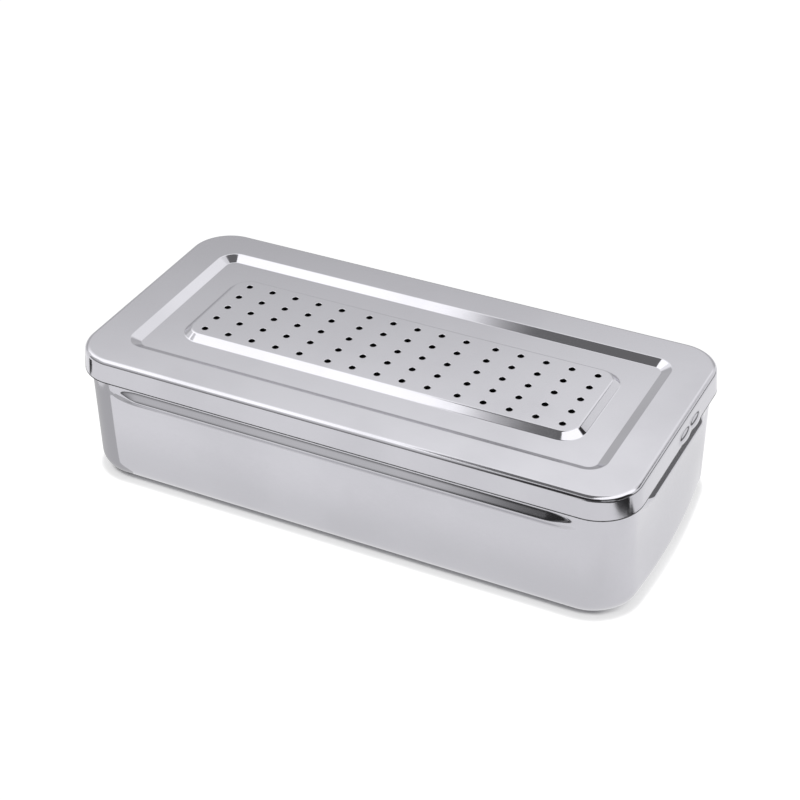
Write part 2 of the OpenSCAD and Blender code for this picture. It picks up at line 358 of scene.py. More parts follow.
def ladder_faces(outer, inner, outer_place, inner_place, upward):
    """Three-cornered faces between two closed rows: each step goes on along the row that lags behind."""
    outer = outer[np.argsort(outer_place, kind="stable")]
    inner = inner[np.argsort(inner_place, kind="stable")]
    order = np.argsort(np.concatenate((outer_place, inner_place)), kind="stable")
    on_outer = order < len(outer)
    outer_count, inner_count = np.cumsum(on_outer), np.cumsum(~on_outer)
    outer_now, inner_now = outer[outer_count - 1], inner[inner_count - 1]
    outer_before, inner_before = outer[outer_count - 2], inner[inner_count - 2]
    first = np.where(on_outer, outer_before, inner_now)
    second = np.where(on_outer, outer_now, inner_before)
    third = np.where(on_outer, inner_now, outer_now)
    return np.column_stack((first, second, third) if upward else (second, first, third))


def welded(points, faces):
    """Points that lie in one place become one, and the faces follow."""
    places = np.round(points / WELD).astype(np.int64)
    _, kept, place_of = np.unique(places, axis=0, return_index=True, return_inverse=True)
    place_of = place_of.reshape(-1)
    return points[kept], [place_of[group] for group in faces]


def steel_piece(name, points, faces, finishes, materials, body):
    """A mesh object from points and groups of faces, with a finish for each face."""
    mesh = bpy.data.meshes.new(name)
    mesh.from_pydata(points.tolist(), [], [face for group in faces for face in group.tolist()])
    mesh.polygons.foreach_set("material_index", np.concatenate(finishes).astype(np.int32))
    mesh.polygons.foreach_set("use_smooth", np.ones(len(mesh.polygons), dtype=bool))
    for material in materials:
        mesh.materials.append(material)
    if mesh.validate():
        raise RuntimeError(f"{name}: the surface has faults")
    piece = bpy.data.objects.new(name, mesh)
    bpy.context.scene.collection.objects.link(piece)
    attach(piece, body)
    return piece


def run_out_marks(half_run, half_length, run_out):
    """Shares along a run that are close together where a bead tapers off at both ends."""
    fine = np.linspace(half_length - run_out - PRESS_MARGIN, half_length + PRESS_MARGIN, PRESS_MARKS)
    places = np.concatenate((-fine, fine, np.linspace(-half_run, half_run, PLAIN_MARKS)))
    return np.unique(np.clip(places, -half_run, half_run)) / half_run


def lift_marks(half_run, middle, half_length):
    """Shares along a run that are close together over the whole length of a pressed shape."""
    fine = middle + np.linspace(-1.0, 1.0, 2 * PRESS_MARKS + 1) * (half_length + PRESS_MARGIN)
    return np.unique(np.concatenate((fine, np.linspace(-half_run, half_run, PLAIN_MARKS)))) / half_run


def step_rows(axes, radius, level, run, rise, sizes, top):
    """Rows of a sloping step from its outer to its inner end: a bend, the slope, and the bend back.

    The bends are arcs about the same centres on both faces of the sheet, so its thickness is kept."""
    up = math.copysign(1.0, rise)
    slope = math.atan(abs(rise) / run)
    tangent = sizes.step_bend * math.tan(slope * HALF)
    middle = level - sizes.sheet * HALF
    thicker = sizes.step_bend + sizes.sheet * HALF
    thinner = sizes.step_bend - sizes.sheet * HALF
    first_radius, last_radius = (thinner, thicker) if (up > 0) == top else (thicker, thinner)
    first_start = -up * QUARTER_TURN
    last_start = -first_start - up * slope
    first = bend(axes, (radius + tangent, middle + up * sizes.step_bend), first_radius,
                 first_start, -up * slope)
    last = bend(axes, (radius - run - tangent, middle + rise - up * sizes.step_bend), last_radius,
                last_start, up * slope)
    outer_flat, inner_flat = first[:1].copy(), last[-1:].copy()
    outer_flat[:, RADIUS] += SUPPORT
    inner_flat[:, RADIUS] -= SUPPORT
    return np.concatenate((outer_flat, first, last, inner_flat))


def skirt_rows(sizes, axes):
    """Rows of the bend under the rim, the skirt, its cut edge, and back up its inner face."""
    flare = sizes.skirt_flare
    skirt_bottom = sizes.rim_height - sizes.skirt_height
    centre = (sizes.corner - sizes.edge_radius, sizes.rim_height - sizes.edge_radius)
    outer_bend = bend(axes, centre, sizes.edge_radius, QUARTER_TURN, flare - QUARTER_TURN)
    inner_bend = bend(axes, centre, sizes.edge_radius - sizes.sheet, flare, QUARTER_TURN - flare)
    outer_top, inner_top = outer_bend[-1], inner_bend[0]
    outer_levels = np.linspace(outer_top[LEVEL] - SUPPORT, skirt_bottom + SHEAR_ROUNDING, SKIRT_ROWS)
    outer = section(axes, outer_top[RADIUS] + (outer_top[LEVEL] - outer_levels) * math.tan(flare),
                    outer_levels)
    inner_levels = outer_levels[::-1]
    inner = section(axes, inner_top[RADIUS] + (inner_top[LEVEL] - inner_levels) * math.tan(flare),
                    inner_levels)
    edge_level = skirt_bottom + SHEAR_ROUNDING
    outer_edge = bend(axes, (outer[-1, RADIUS] - SHEAR_ROUNDING, edge_level), SHEAR_ROUNDING,
                      0.0, -QUARTER_TURN, EDGE_STEPS)[1:]
    inner_edge = bend(axes, (inner[0, RADIUS] + SHEAR_ROUNDING, edge_level), SHEAR_ROUNDING,
                      -QUARTER_TURN, -QUARTER_TURN, EDGE_STEPS)[:-1]
    outer_flat, inner_flat = outer_bend[:1].copy(), inner_bend[-1:].copy()
    outer_flat[:, RADIUS] -= SUPPORT
    inner_flat[:, RADIUS] -= SUPPORT
    outside = np.concatenate((outer_flat, outer_bend, outer))
    cut = np.concatenate((outer_edge, inner_edge))
    inside = np.concatenate((inner, inner_bend, inner_flat))
    return outside, cut, inside


def hole_field(sizes):
    """Centres of the punched holes, and the lines between them, along the length and the width."""
    group_step = (sizes.group_columns - 1) * sizes.hole_pitch + sizes.group_gap
    groups = (np.arange(sizes.hole_groups) - (sizes.hole_groups - 1) * HALF) * group_step
    columns = (np.arange(sizes.group_columns) - (sizes.group_columns - 1) * HALF) * sizes.hole_pitch
    centres_x = (groups[:, None] + columns[None, :]).reshape(-1)
    centres_y = (np.arange(sizes.hole_rows) - (sizes.hole_rows - 1) * HALF) * sizes.row_pitch
    lines = []
    for centres, past in ((centres_x, sizes.field_end), (centres_y, sizes.field_side)):
        between = (centres[1:] + centres[:-1]) * HALF
        lines.append(np.concatenate(([centres[0] - past], between, [centres[-1] + past])))
    return (centres_x, centres_y), lines


def square_walk():
    """Points round a unit square, anticlockwise from its lower left corner."""
    step = np.arange(FIELD_MARKS) / FIELD_MARKS
    zero, one = np.zeros(FIELD_MARKS), np.ones(FIELD_MARKS)
    across = np.concatenate((step, one, 1 - step, zero))
    upward = np.concatenate((zero, step, one, 1 - step))
    return np.column_stack((across, upward))


def punched_fields(sizes, top, bottom):
    """Fields round the holes: rows from the field's edge in to the hole, down its wall and out again.

    A field's edge is walked at the same shares as its neighbours', and every other row is a circle."""
    (centres_x, centres_y), (lines_x, lines_y) = hole_field(sizes)
    low = np.stack(np.meshgrid(lines_x[:-1], lines_y[:-1], indexing="ij"), axis=2).reshape(-1, 1, 2)
    high = np.stack(np.meshgrid(lines_x[1:], lines_y[1:], indexing="ij"), axis=2).reshape(-1, 1, 2)
    centre = np.stack(np.meshgrid(centres_x, centres_y, indexing="ij"), axis=2).reshape(-1, 1, 1, 2)
    walk = square_walk()
    edge = low + (high - low) * walk
    count = len(walk)
    angle = np.arange(count) / count * FULL_TURN - QUARTER_TURN * (1 + HALF)
    circle = np.column_stack((np.cos(angle), np.sin(angle)))
    lean = np.linspace(0.0, QUARTER_TURN, EDGE_STEPS + 1)
    hole = sizes.hole_diameter * HALF
    radius = np.concatenate((
        [hole + 2 * PUNCH_ROUNDING], hole + PUNCH_ROUNDING * (1 - np.sin(lean)),
        hole + BURR_ROUNDING * (1 - np.sin(lean[::-1])), [hole + 2 * PUNCH_ROUNDING]))
    level = np.concatenate((
        [top], top - PUNCH_ROUNDING * (1 - np.cos(lean)),
        bottom + BURR_ROUNDING * (1 - np.cos(lean[::-1])), [bottom]))
    rounds = centre + radius[:, None, None] * circle
    plan = np.concatenate((edge[:, None], rounds, edge[:, None]), axis=1)
    levels = np.concatenate(([top], level, [bottom]))
    height = np.broadcast_to(levels[None, :, None, None], plan.shape[:3] + (1,))
    return np.concatenate((plan, height), axis=3)


def field_border(sizes, level):
    """Points along the border of all fields, anticlockwise, at the shares where the fields have theirs."""
    _, (lines_x, lines_y) = hole_field(sizes)
    step = np.arange(FIELD_MARKS) / FIELD_MARKS
    x = (lines_x[:-1, None] + np.diff(lines_x)[:, None] * step).reshape(-1)
    y = (lines_y[:-1, None] + np.diff(lines_y)[:, None] * step).reshape(-1)
    x_all, y_all = np.append(x, lines_x[-1]), np.append(y, lines_y[-1])
    plan = np.concatenate((
        np.column_stack((np.full(len(y), lines_x[-1]), y)),
        np.column_stack((x_all[:0:-1], np.full(len(x), lines_y[-1]))),
        np.column_stack((np.full(len(y), lines_x[0]), y_all[:0:-1])),
        np.column_stack((x, np.full(len(x), lines_y[0])))))
    return np.column_stack((plan, np.full(len(plan), level)))


def lid_surface(sizes):
    """The lid: panel step, recess, rim and skirt carried round, over to the underside, and the fields."""
    lid_axes = (sizes.length * HALF - sizes.corner, sizes.width * HALF - sizes.corner)
    recess_axes = (sizes.length * HALF - sizes.rim_end_width - sizes.recess_corner,
                   sizes.width * HALF - sizes.rim_side_width - sizes.recess_corner)
    panel_axes = (sizes.panel_length * HALF - sizes.panel_corner,
                  sizes.panel_width * HALF - sizes.panel_corner)
    recess_level = sizes.rim_height - sizes.recess_depth
    panel_level = recess_level + sizes.panel_rise
    faces_of_sheet = []
    for top in (True, False):
        recess = step_rows(recess_axes, sizes.recess_corner, sizes.rim_height, sizes.recess_run,
                           -sizes.recess_depth, sizes, top)
        panel = step_rows(panel_axes, sizes.panel_corner + sizes.panel_run, recess_level, sizes.panel_run,
                          sizes.panel_rise, sizes, top)
        faces_of_sheet.append(np.concatenate((recess, panel)))
    outside, cut, inside = skirt_rows(sizes, lid_axes)
    rows = np.concatenate((faces_of_sheet[0][::-1], outside, cut, inside, faces_of_sheet[1]))
    skirt_first = len(faces_of_sheet[0])
    skirt_last = skirt_first + len(outside) + len(cut) + len(inside)
    half_length = sizes.lift_length * HALF
    path = ring_path(lift_marks(lid_axes[1], sizes.lift_offset, half_length),
                     np.linspace(-1.0, 1.0, PLAIN_MARKS))
    points = carried(rows, path)
    # The finger lifts stand out of the two ends of the skirt
    skirt = points[skirt_first:skirt_last]
    half_height = sizes.lift_height * HALF
    lift_middle = sizes.rim_height - sizes.skirt_height + sizes.lift_rise
    lobe = half_length * HALF + sizes.lift_overlap * HALF
    on_end = np.round(path[1][:, 0]) * (np.abs(path[1][:, 1]) < WELD)
    lobes = []
    for side in (-1, 1):
        along = skirt[:, :, 1] - sizes.lift_offset - side * (half_length - lobe)
        distance = np.hypot(along * half_height / lobe, skirt[:, :, 2] - lift_middle)
        lobes.append(pressed_depth(distance, half_height, sizes.lift_depth, LIFT_BLEND))
    skirt[:, :, 0] += on_end * np.maximum(*lobes)
    columns = points.shape[1]
    ring_faces = grid_faces(len(rows), columns)
    finish_of_row = np.full(len(rows) - 1, OUTSIDE)
    # Painted shadow line: the skirt's lowest bands share the cut edge's dark finish
    finish_of_row[skirt_first + len(outside) - PAINTED_SHADOW_BANDS:] = CUT
    finish_of_row[skirt_first + len(outside) + len(cut):] = INSIDE
    ring_finish = np.repeat(finish_of_row, columns)
    # The punched fields, and the plain margin between them and the panel's bend
    fields = punched_fields(sizes, panel_level, panel_level - sizes.sheet)
    count, rounds, walk = fields.shape[:3]
    first_field = points.shape[0] * columns
    one_field = grid_faces(rounds, walk)[:, ::-1]
    field_faces = (first_field + np.arange(count)[:, None, None] * rounds * walk + one_field).reshape(-1, 4)
    finish_of_round = np.full(rounds - 1, CUT)
    finish_of_round[:EDGE_STEPS] = OUTSIDE
    finish_of_round[-UNDERSIDE_BANDS:] = INSIDE
    field_finish = np.tile(np.repeat(finish_of_round, walk), count)
    borders = [field_border(sizes, level) for level in (panel_level, panel_level - sizes.sheet)]
    first_border = first_field + count * rounds * walk
    margins = []
    half_x, half_y = borders[0][:, 0].max(), borders[0][:, 1].max()
    for number, row in enumerate((0, len(rows) - 1)):
        ring = row * columns + np.arange(columns)
        border = first_border + number * len(borders[0]) + np.arange(len(borders[0]))
        margins.append(ladder_faces(ring, border, side_place(points[row], half_x, half_y),
                                    side_place(borders[number], half_x, half_y), number == 0))
    all_points = np.concatenate((points.reshape(-1, 3), fields.reshape(-1, 3), *borders))
    finishes = [ring_finish, field_finish,
                np.full(len(margins[0]), OUTSIDE), np.full(len(margins[1]), INSIDE)]
    all_points, faces = welded(all_points, [ring_faces, field_faces, *margins])
    return all_points, faces, finishes


def tray_surface(lid, sizes):
    """The tray: inner floor, bend, wall, cut rim, and back down outside to the underside, carried round."""
    inset = lid.sheet + sizes.skirt_gap
    axes = (lid.length * HALF - inset - sizes.corner, lid.width * HALF - inset - sizes.corner)
    lean = sizes.wall_lean
    rim_level = lid.rim_height - lid.sheet - RIM_CLEARANCE
    foot = sizes.corner - (lid.rim_height - lid.sheet - sizes.floor_bend) * math.tan(lean)
    centre = (foot - sizes.floor_bend, sizes.floor_bend)
    skirt_bottom = lid.rim_height - lid.skirt_height
    half_height = sizes.bead_height * HALF
    bead_middle = skirt_bottom - sizes.bead_drop
    low = bead_middle - half_height - PRESS_MARGIN
    high = bead_middle + half_height + PRESS_MARGIN
    inner_bend = bend(axes, centre, sizes.floor_bend - lid.sheet, -QUARTER_TURN, QUARTER_TURN - lean)
    outer_bend = bend(axes, centre, sizes.floor_bend, -lean, lean - QUARTER_TURN)
    levels = np.concatenate((
        np.linspace(sizes.floor_bend + SUPPORT, low, PLAIN_ROWS, endpoint=False),
        np.linspace(low, high, BEAD_ROWS, endpoint=False),
        np.linspace(high, rim_level - RIM_ROUNDING, PLAIN_ROWS)))
    walls = []
    for start in (inner_bend[-1], outer_bend[0]):
        walls.append(section(axes, start[RADIUS] + (levels - start[LEVEL]) * math.tan(lean), levels))
    edge_level = rim_level - RIM_ROUNDING
    inner_edge = bend(axes, (walls[0][-1, RADIUS] + RIM_ROUNDING, edge_level), RIM_ROUNDING,
                      2 * QUARTER_TURN, -QUARTER_TURN, EDGE_STEPS)[1:]
    outer_edge = bend(axes, (walls[1][-1, RADIUS] - RIM_ROUNDING, edge_level), RIM_ROUNDING,
                      QUARTER_TURN, -QUARTER_TURN, EDGE_STEPS)[:-1]
    inner_floor = section(axes, np.linspace(0.0, inner_bend[0, RADIUS] - SUPPORT, EDGE_STEPS), lid.sheet)
    outer_floor = section(axes, np.linspace(outer_bend[-1, RADIUS] - SUPPORT, 0.0, EDGE_STEPS), 0.0)
    inside = np.concatenate((inner_floor, inner_bend, walls[0]))
    cut = np.concatenate((inner_edge, outer_edge))
    outside = np.concatenate((walls[1][::-1], outer_bend, outer_floor))
    rows = np.concatenate((inside, cut, outside))
    end_half = axes[1] - sizes.bead_end_gap
    side_half = axes[0] - sizes.bead_side_gap
    path = ring_path(run_out_marks(axes[1], end_half, sizes.end_run_out),
                     run_out_marks(axes[0], side_half, sizes.side_run_out))
    points = carried(rows, path)
    # The beads stand out of the straight part of each wall
    straight = path[1] * (np.abs(path[1][:, ::-1]) < WELD)
    x, y, height = points[:, :, 0].copy(), points[:, :, 1].copy(), points[:, :, 2] - bead_middle
    end_distance = middle_line_distance(y, height, end_half, half_height, sizes.end_run_out)
    side_distance = middle_line_distance(x, height, side_half, half_height, sizes.side_run_out)
    heights = [sloped_depth(distance, half_height, sizes.bead_depth, sizes.bead_slope, BEAD_BLEND)
               for distance in (end_distance, side_distance)]
    points[:, :, 0] += straight[:, 0] * heights[0]
    points[:, :, 1] += straight[:, 1] * heights[1]
    # The foot of each end wall bows out between the corners, most towards one of them
    outward = path[1][:, 0]
    lead = (y * np.sign(outward) + sizes.bow_lead) / (axes[1] + sizes.bow_lead)
    across = outward * np.abs(outward) * np.maximum(1 - lead ** 2, 0.0)
    above = np.clip(points[:, :, 2] / sizes.bow_height, 0.0, 1.0)
    fall = 1 - smooth_step(above)
    outer_share = np.clip(rows[:, RADIUS] / centre[0], 0.0, 1.0)
    points[:, :, 0] += sizes.end_bow * across * fall * outer_share[:, None]
    columns = points.shape[1]
    wall_faces = grid_faces(len(rows), columns)
    finish_of_row = np.full(len(rows) - 1, INSIDE)
    finish_of_row[len(inside) - 1:] = CUT
    finish_of_row[len(inside) + len(cut):] = OUTSIDE
    total = len(rows) * columns
    poles = np.array(((0.0, 0.0, lid.sheet), (0.0, 0.0, 0.0)))
    floors = [fan_faces(total, 0, columns, True),
              fan_faces(total + 1, total - columns, columns, False)]
    all_points = np.concatenate((points.reshape(-1, 3), poles))
    finishes = [np.repeat(finish_of_row, columns), np.full(columns, INSIDE), np.full(columns, OUTSIDE)]
    return all_points, [wall_faces, *floors], finishes


def feed(tree, socket, source):
    """Give a socket its value, or link it to the output that it comes from."""
    if isinstance(source, bpy.types.NodeSocket):
        tree.links.new(source, socket)
    else:
        socket.default_value = source


def add_node(tree, kind, label, *ordered, **named):
    """A node with a label, its properties set, and its sockets fed in order or by name."""
    node = tree.nodes.new(kind)
    node.label = label
    for title, value in named.items():
        socket = node.inputs.get(title.replace("_", " "))
        if socket is None:
            setattr(node, title, value)
        else:
            feed(tree, socket, value)
    for socket, value in zip(node.inputs, ordered):
        feed(tree, socket, value)
    return node


def new_group(name, output, **inputs):
    """A shader node group with one number out and numbers in: the group, what it is given and its result."""
    group = bpy.data.node_groups.new(name, "ShaderNodeTree")
    new_socket = group.interface.new_socket
    for title, value in inputs.items():
        socket = new_socket(name=title.replace("_", " "), in_out="INPUT", socket_type="NodeSocketFloat")
        socket.default_value = value
    new_socket(name=output, in_out="OUTPUT", socket_type="NodeSocketFloat")
    given = group.nodes.new("NodeGroupInput")
    result = group.nodes.new("NodeGroupOutput")
    return group, given.outputs, result.inputs[output]


def handling_marks_group():
    """Soft clouds of handling with finer specks, as a mask from clean to dulled."""
    group, given, result = new_group("Handling marks", "Mask", Cloud_Scale=14.0, Speck_Scale=900.0,
                                     Speck_Amount=0.2)
    place = add_node(group, "ShaderNodeTexCoord", "Place on the piece").outputs["Object"]
    cloud = add_node(group, "ShaderNodeTexNoise", "Clouds", Vector=place, Scale=given["Cloud Scale"],
                     Detail=4.0, Roughness=0.55)
    speck = add_node(group, "ShaderNodeTexNoise", "Specks", Vector=place, Scale=given["Speck Scale"],
                     Detail=2.0)
    shape = add_node(group, "ShaderNodeMapRange", "Cloud contrast", interpolation_type="SMOOTHSTEP",
                     Value=cloud.outputs["Fac"], From_Min=0.36, From_Max=0.68)
    amount = add_node(group, "ShaderNodeMath", "Speck amount", speck.outputs["Fac"], given["Speck Amount"],
                      operation="MULTIPLY")
    both = add_node(group, "ShaderNodeMath", "Clouds and specks", shape.outputs["Result"],
                    amount.outputs["Value"], operation="ADD", use_clamp=True)
    feed(group, result, both.outputs["Value"])
    return group


def polishing_lines_group():
    """Fine lines left by the polishing wheel along the length, as a height."""
    group, given, result = new_group("Polishing lines", "Height", Across_Scale=2600.0, Along_Scale=40.0)
    place = add_node(group, "ShaderNodeTexCoord", "Place on the piece")
    scale = add_node(group, "ShaderNodeCombineXYZ", "Long along the length", given["Along Scale"],
                     given["Across Scale"], given["Across Scale"])
    stretch = add_node(group, "ShaderNodeVectorMath", "Stretched", place.outputs["Object"],
                       scale.outputs["Vector"], operation="MULTIPLY")
    lines = add_node(group, "ShaderNodeTexNoise", "Lines", Vector=stretch.outputs["Vector"], Scale=1.0,
                     Detail=3.0, Roughness=0.6)
    feed(group, result, lines.outputs["Fac"])
    return group


def drawn_sheet_group():
    """Slow unevenness of drawn sheet, with a few small dents, as a height."""
    group, given, result = new_group("Drawn sheet", "Height", Wave_Scale=18.0, Dent_Scale=60.0,
                                     Dent_Amount=0.15)
    place = add_node(group, "ShaderNodeTexCoord", "Place on the piece").outputs["Object"]
    wave = add_node(group, "ShaderNodeTexNoise", "Waves", Vector=place, Scale=given["Wave Scale"], Detail=1.0)
    dent = add_node(group, "ShaderNodeTexNoise", "Dents", Vector=place, Scale=given["Dent Scale"], Detail=0.0)
    total = add_node(group, "ShaderNodeMath", "Dents added to waves", dent.outputs["Fac"],
                     given["Dent Amount"], wave.outputs["Fac"], operation="MULTIPLY_ADD")
    feed(group, result, total.outputs["Value"])
    return group


def place_group(tree, name, maker, **values):
    """A shared node group, made when it is first asked for, placed in a material with its own values."""
    group = bpy.data.node_groups.get(name) or maker()
    return add_node(tree, "ShaderNodeGroup", name, node_tree=group, **values)


def steel_material(name, clean, marked, clean_roughness, marked_roughness, marks, lines, sheet,
                   line_height, wave_height):
    """Steel whose colour and roughness follow handling marks, with polishing lines and waves as bumps."""
    material = bpy.data.materials.new(name)
    material.use_nodes = True
    tree = material.node_tree
    mask = place_group(tree, "Handling marks", handling_marks_group, **marks).outputs["Mask"]
    line = place_group(tree, "Polishing lines", polishing_lines_group, **lines).outputs["Height"]
    wave = place_group(tree, "Drawn sheet", drawn_sheet_group, **sheet).outputs["Height"]
    tone = add_node(tree, "ShaderNodeMix", "Clean to marked", data_type="RGBA", Factor=mask)
    colours = [socket for socket in tone.inputs if socket.type == "RGBA"]
    for socket, colour in zip(colours, (clean, marked)):
        socket.default_value = (*colour, 1.0)
    mixed = next(socket for socket in tone.outputs if socket.type == "RGBA")
    rough = add_node(tree, "ShaderNodeMapRange", "Roughness from marks", Value=mask,
                     To_Min=clean_roughness, To_Max=marked_roughness)
    wave_bump = add_node(tree, "ShaderNodeBump", "Waves of the sheet", Strength=1.0, Distance=wave_height,
                         Height=wave)
    line_bump = add_node(tree, "ShaderNodeBump", "Polishing lines", Strength=1.0, Distance=line_height,
                         Height=line, Normal=wave_bump.outputs["Normal"])
    shader = tree.nodes["Principled BSDF"]
    feed(tree, shader.inputs["Metallic"], 1.0)
    feed(tree, shader.inputs["Base Color"], mixed)
    feed(tree, shader.inputs["Roughness"], rough.outputs["Result"])
    feed(tree, shader.inputs["Normal"], line_bump.outputs["Normal"])
    return material


def steel_finishes(piece, finish):
    """The three finishes of a piece: polished outside, satin inside, and its cut edges, whose dark finish
    also paints the shadow line under the lid's skirt.
    """
    outside = steel_material(
        f"{piece}_polished_steel", finish.polished, finish.dulled, finish.polish_roughness,
        finish.dulled_roughness, marks={"Cloud_Scale": 16.0, "Speck_Amount": 0.25},
        lines={"Across_Scale": 3000.0, "Along_Scale": 30.0}, sheet={"Wave_Scale": 14.0, "Dent_Amount": 0.1},
        line_height=0.0000004, wave_height=0.00006)
    inside = steel_material(
        f"{piece}_satin_steel", finish.satin, finish.stained, finish.satin_roughness,
        finish.stained_roughness, marks={"Cloud_Scale": 30.0, "Speck_Amount": 0.4},
        lines={"Across_Scale": 1800.0, "Along_Scale": 60.0}, sheet={"Wave_Scale": 14.0, "Dent_Amount": 0.1},
        line_height=0.000002, wave_height=0.00006)
    cut = steel_material(
        f"{piece}_sheared_steel", finish.sheared_and_shade, finish.torn_and_shade, finish.satin_roughness,
        finish.stained_roughness, marks={"Cloud_Scale": 1500.0, "Speck_Amount": 0.3},
        lines={"Across_Scale": 9000.0, "Along_Scale": 3000.0},
        sheet={"Wave_Scale": 900.0, "Dent_Amount": 0.3}, line_height=0.000004, wave_height=0.00001)
    return outside, inside, cut


class MakeTray(bpy.types.Operator):
    """Make the deep-drawn tray with its pressed beads"""

    bl_idname = "instrument_tray.make_tray"
    bl_label = "Make the tray"

    def execute(self, context):
        scene = context.scene
        points, faces, finishes = tray_surface(scene.lid_sizes, scene.tray_sizes)
        piece = steel_piece("drawn_tray", points, faces, finishes,
                            steel_finishes("tray", scene.steel_finish), "tray")
        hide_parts("tray")
        return {"FINISHED"}


class MakeLid(bpy.types.Operator):
    """Make the pressed lid with its recess, perforated panel, skirt and finger lifts"""

    bl_idname = "instrument_tray.make_lid"
    bl_label = "Make the lid"

    def execute(self, context):
        scene = context.scene
        points, faces, finishes = lid_surface(scene.lid_sizes)
        piece = steel_piece("pressed_lid", points, faces, finishes,
                            steel_finishes("lid", scene.steel_finish), "lid")
        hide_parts("lid")
        return {"FINISHED"}


def stage_surface(name, points, material):
    """A stage object from a grid of points, with a UV map that runs from 0 to 1 along rows and columns."""
    rows, columns = points.shape[:2]
    start = np.arange(rows - 1)[:, None] * columns + np.arange(columns - 1)[None, :]
    faces = np.stack((start, start + 1, start + columns + 1, start + columns), axis=2).reshape(-1, 4)
    mesh = bpy.data.meshes.new(name)
    mesh.from_pydata(points.reshape(-1, 3).tolist(), [], faces.tolist())
    share = np.stack(np.meshgrid(np.linspace(0.0, 1.0, columns), np.linspace(0.0, 1.0, rows)), axis=2)
    layer = mesh.uv_layers.new(name="Card")
    layer.data.foreach_set("uv", share.reshape(-1, 2)[faces.reshape(-1)].reshape(-1))
    mesh.polygons.foreach_set("use_smooth", np.ones(len(mesh.polygons), dtype=bool))
    mesh.materials.append(material)
    piece = bpy.data.objects.new(name, mesh)
    bpy.context.scene.collection.objects.link(piece)
    return piece


def flat_card(x_range, y_range, height):
    """Points of a level rectangle at a height."""
    x, y = np.meshgrid(x_range, y_range)
    return np.stack((x, y, np.full_like(x, height)), axis=2)


def floor_card(first, second, third, fourth, height=0.0003):
    """Points of a level four-cornered patch just above the floor, given its corners in order."""
    corners = np.array(((first, second), (fourth, third)))
    return np.concatenate((corners, np.full((2, 2, 1), height)), axis=2)


def standing_card(start, end, height):
    """Points of an upright strip on the floor between two places."""
    x, up = np.meshgrid((start[0], end[0]), (0.0, height))
    y, _ = np.meshgrid((start[1], end[1]), (0.0, height))
    return np.stack((x, y, up), axis=2)


def round_card(azimuth_range, elevation_range, distance, steps=24):
    """Points of a part of a sphere round the object: directions by azimuth and elevation, in degrees."""
    azimuth, elevation = np.meshgrid(np.radians(np.linspace(*azimuth_range, steps)),
                                     np.radians(np.linspace(*elevation_range, steps)))
    across = np.cos(elevation) * distance
    height = np.sin(elevation) * distance
    return np.stack((across * np.cos(azimuth), across * np.sin(azimuth), height), axis=2)


def soft_edge_group():
    """Mask of a card that fades towards its four edges, from its UV map."""
    group, given, result = new_group("Soft edge", "Mask", Softness=0.1)
    place = add_node(group, "ShaderNodeTexCoord", "Place on the card")
    split = add_node(group, "ShaderNodeSeparateXYZ", "Across and up", place.outputs["UV"])
    fades = []
    for axis in ("X", "Y"):
        mirrored = add_node(group, "ShaderNodeMath", "Share to the middle", split.outputs[axis], HALF,
                            operation="PINGPONG")
        fade = add_node(group, "ShaderNodeMapRange", "Fade", interpolation_type="SMOOTHSTEP",
                        Value=mirrored.outputs["Value"], From_Max=given["Softness"])
        fades.append(fade.outputs["Result"])
    both = add_node(group, "ShaderNodeMath", "Both ways", *fades, operation="MULTIPLY")
    feed(group, result, both.outputs["Value"])
    return group


def card_material(name, strength, softness, change=None, limits=None):
    """A card that reflections see, with soft edges: one strength, or one that changes with direction.

    A changing strength has the direction's dot product with the change added, and is kept in the limits."""
    material = bpy.data.materials.new(name)
    material.use_nodes = True
    tree = material.node_tree
    tree.nodes.remove(tree.nodes["Principled BSDF"])
    edge = place_group(tree, "Soft edge", soft_edge_group, Softness=softness)
    light = add_node(tree, "ShaderNodeEmission", "Card", Strength=strength)
    clear = add_node(tree, "ShaderNodeBsdfTransparent", "Past the card")
    mix = add_node(tree, "ShaderNodeMixShader", "Soft card", edge.outputs["Mask"], clear.outputs["BSDF"],
                   light.outputs["Emission"])
    feed(tree, tree.nodes["Material Output"].inputs["Surface"], mix.outputs["Shader"])
    if change is not None:
        place = add_node(tree, "ShaderNodeTexCoord", "Direction")
        unit = add_node(tree, "ShaderNodeVectorMath", "Unit direction", place.outputs["Object"],
                        operation="NORMALIZE")
        dot = add_node(tree, "ShaderNodeVectorMath", "Along the gradient", unit.outputs["Vector"], change,
                       operation="DOT_PRODUCT")
        level = add_node(tree, "ShaderNodeMath", "Strength", dot.outputs["Value"], strength, operation="ADD")
        limit = add_node(tree, "ShaderNodeClamp", "Limits", level.outputs["Value"], *limits)
        feed(tree, light.inputs["Strength"], limit.outputs["Result"])
    return material


def reflection_card(name, points, material):
    """A card that only mirror-like reflections see."""
    card = stage_surface(name, points, material)
    card.visible_camera = False
    card.visible_diffuse = False
    card.visible_transmission = False
    card.visible_shadow = False


def seen_directly(tree):
    """Mask of the rays that see the background: camera, mirror and transmission rays."""
    rays = add_node(tree, "ShaderNodeLightPath", "Kind of ray")
    mirror = add_node(tree, "ShaderNodeMath", "Camera or mirror", rays.outputs["Is Camera Ray"],
                      rays.outputs["Is Glossy Ray"], operation="MAXIMUM")
    through = add_node(tree, "ShaderNodeMath", "Or transmission", mirror.outputs["Value"],
                       rays.outputs["Is Transmission Ray"], operation="MAXIMUM")
    return through.outputs["Value"]


FLOOR_ROUGHNESS = 0.95
# Brightness of the floor by how open it is to the light
CONTACT_SHADE = ((0.0, 0.0), (0.24, 0.02), (0.38, 0.60), (0.72, 0.72), (0.88, 1.0))
# Where along the tray the window side starts and ends, and its floor's least brightness: painted light that
# lightens the floor's painted contact shade towards the tray's right end
WINDOW_START = 0.098
WINDOW_END = 0.112
WINDOW_SHADE = 0.78


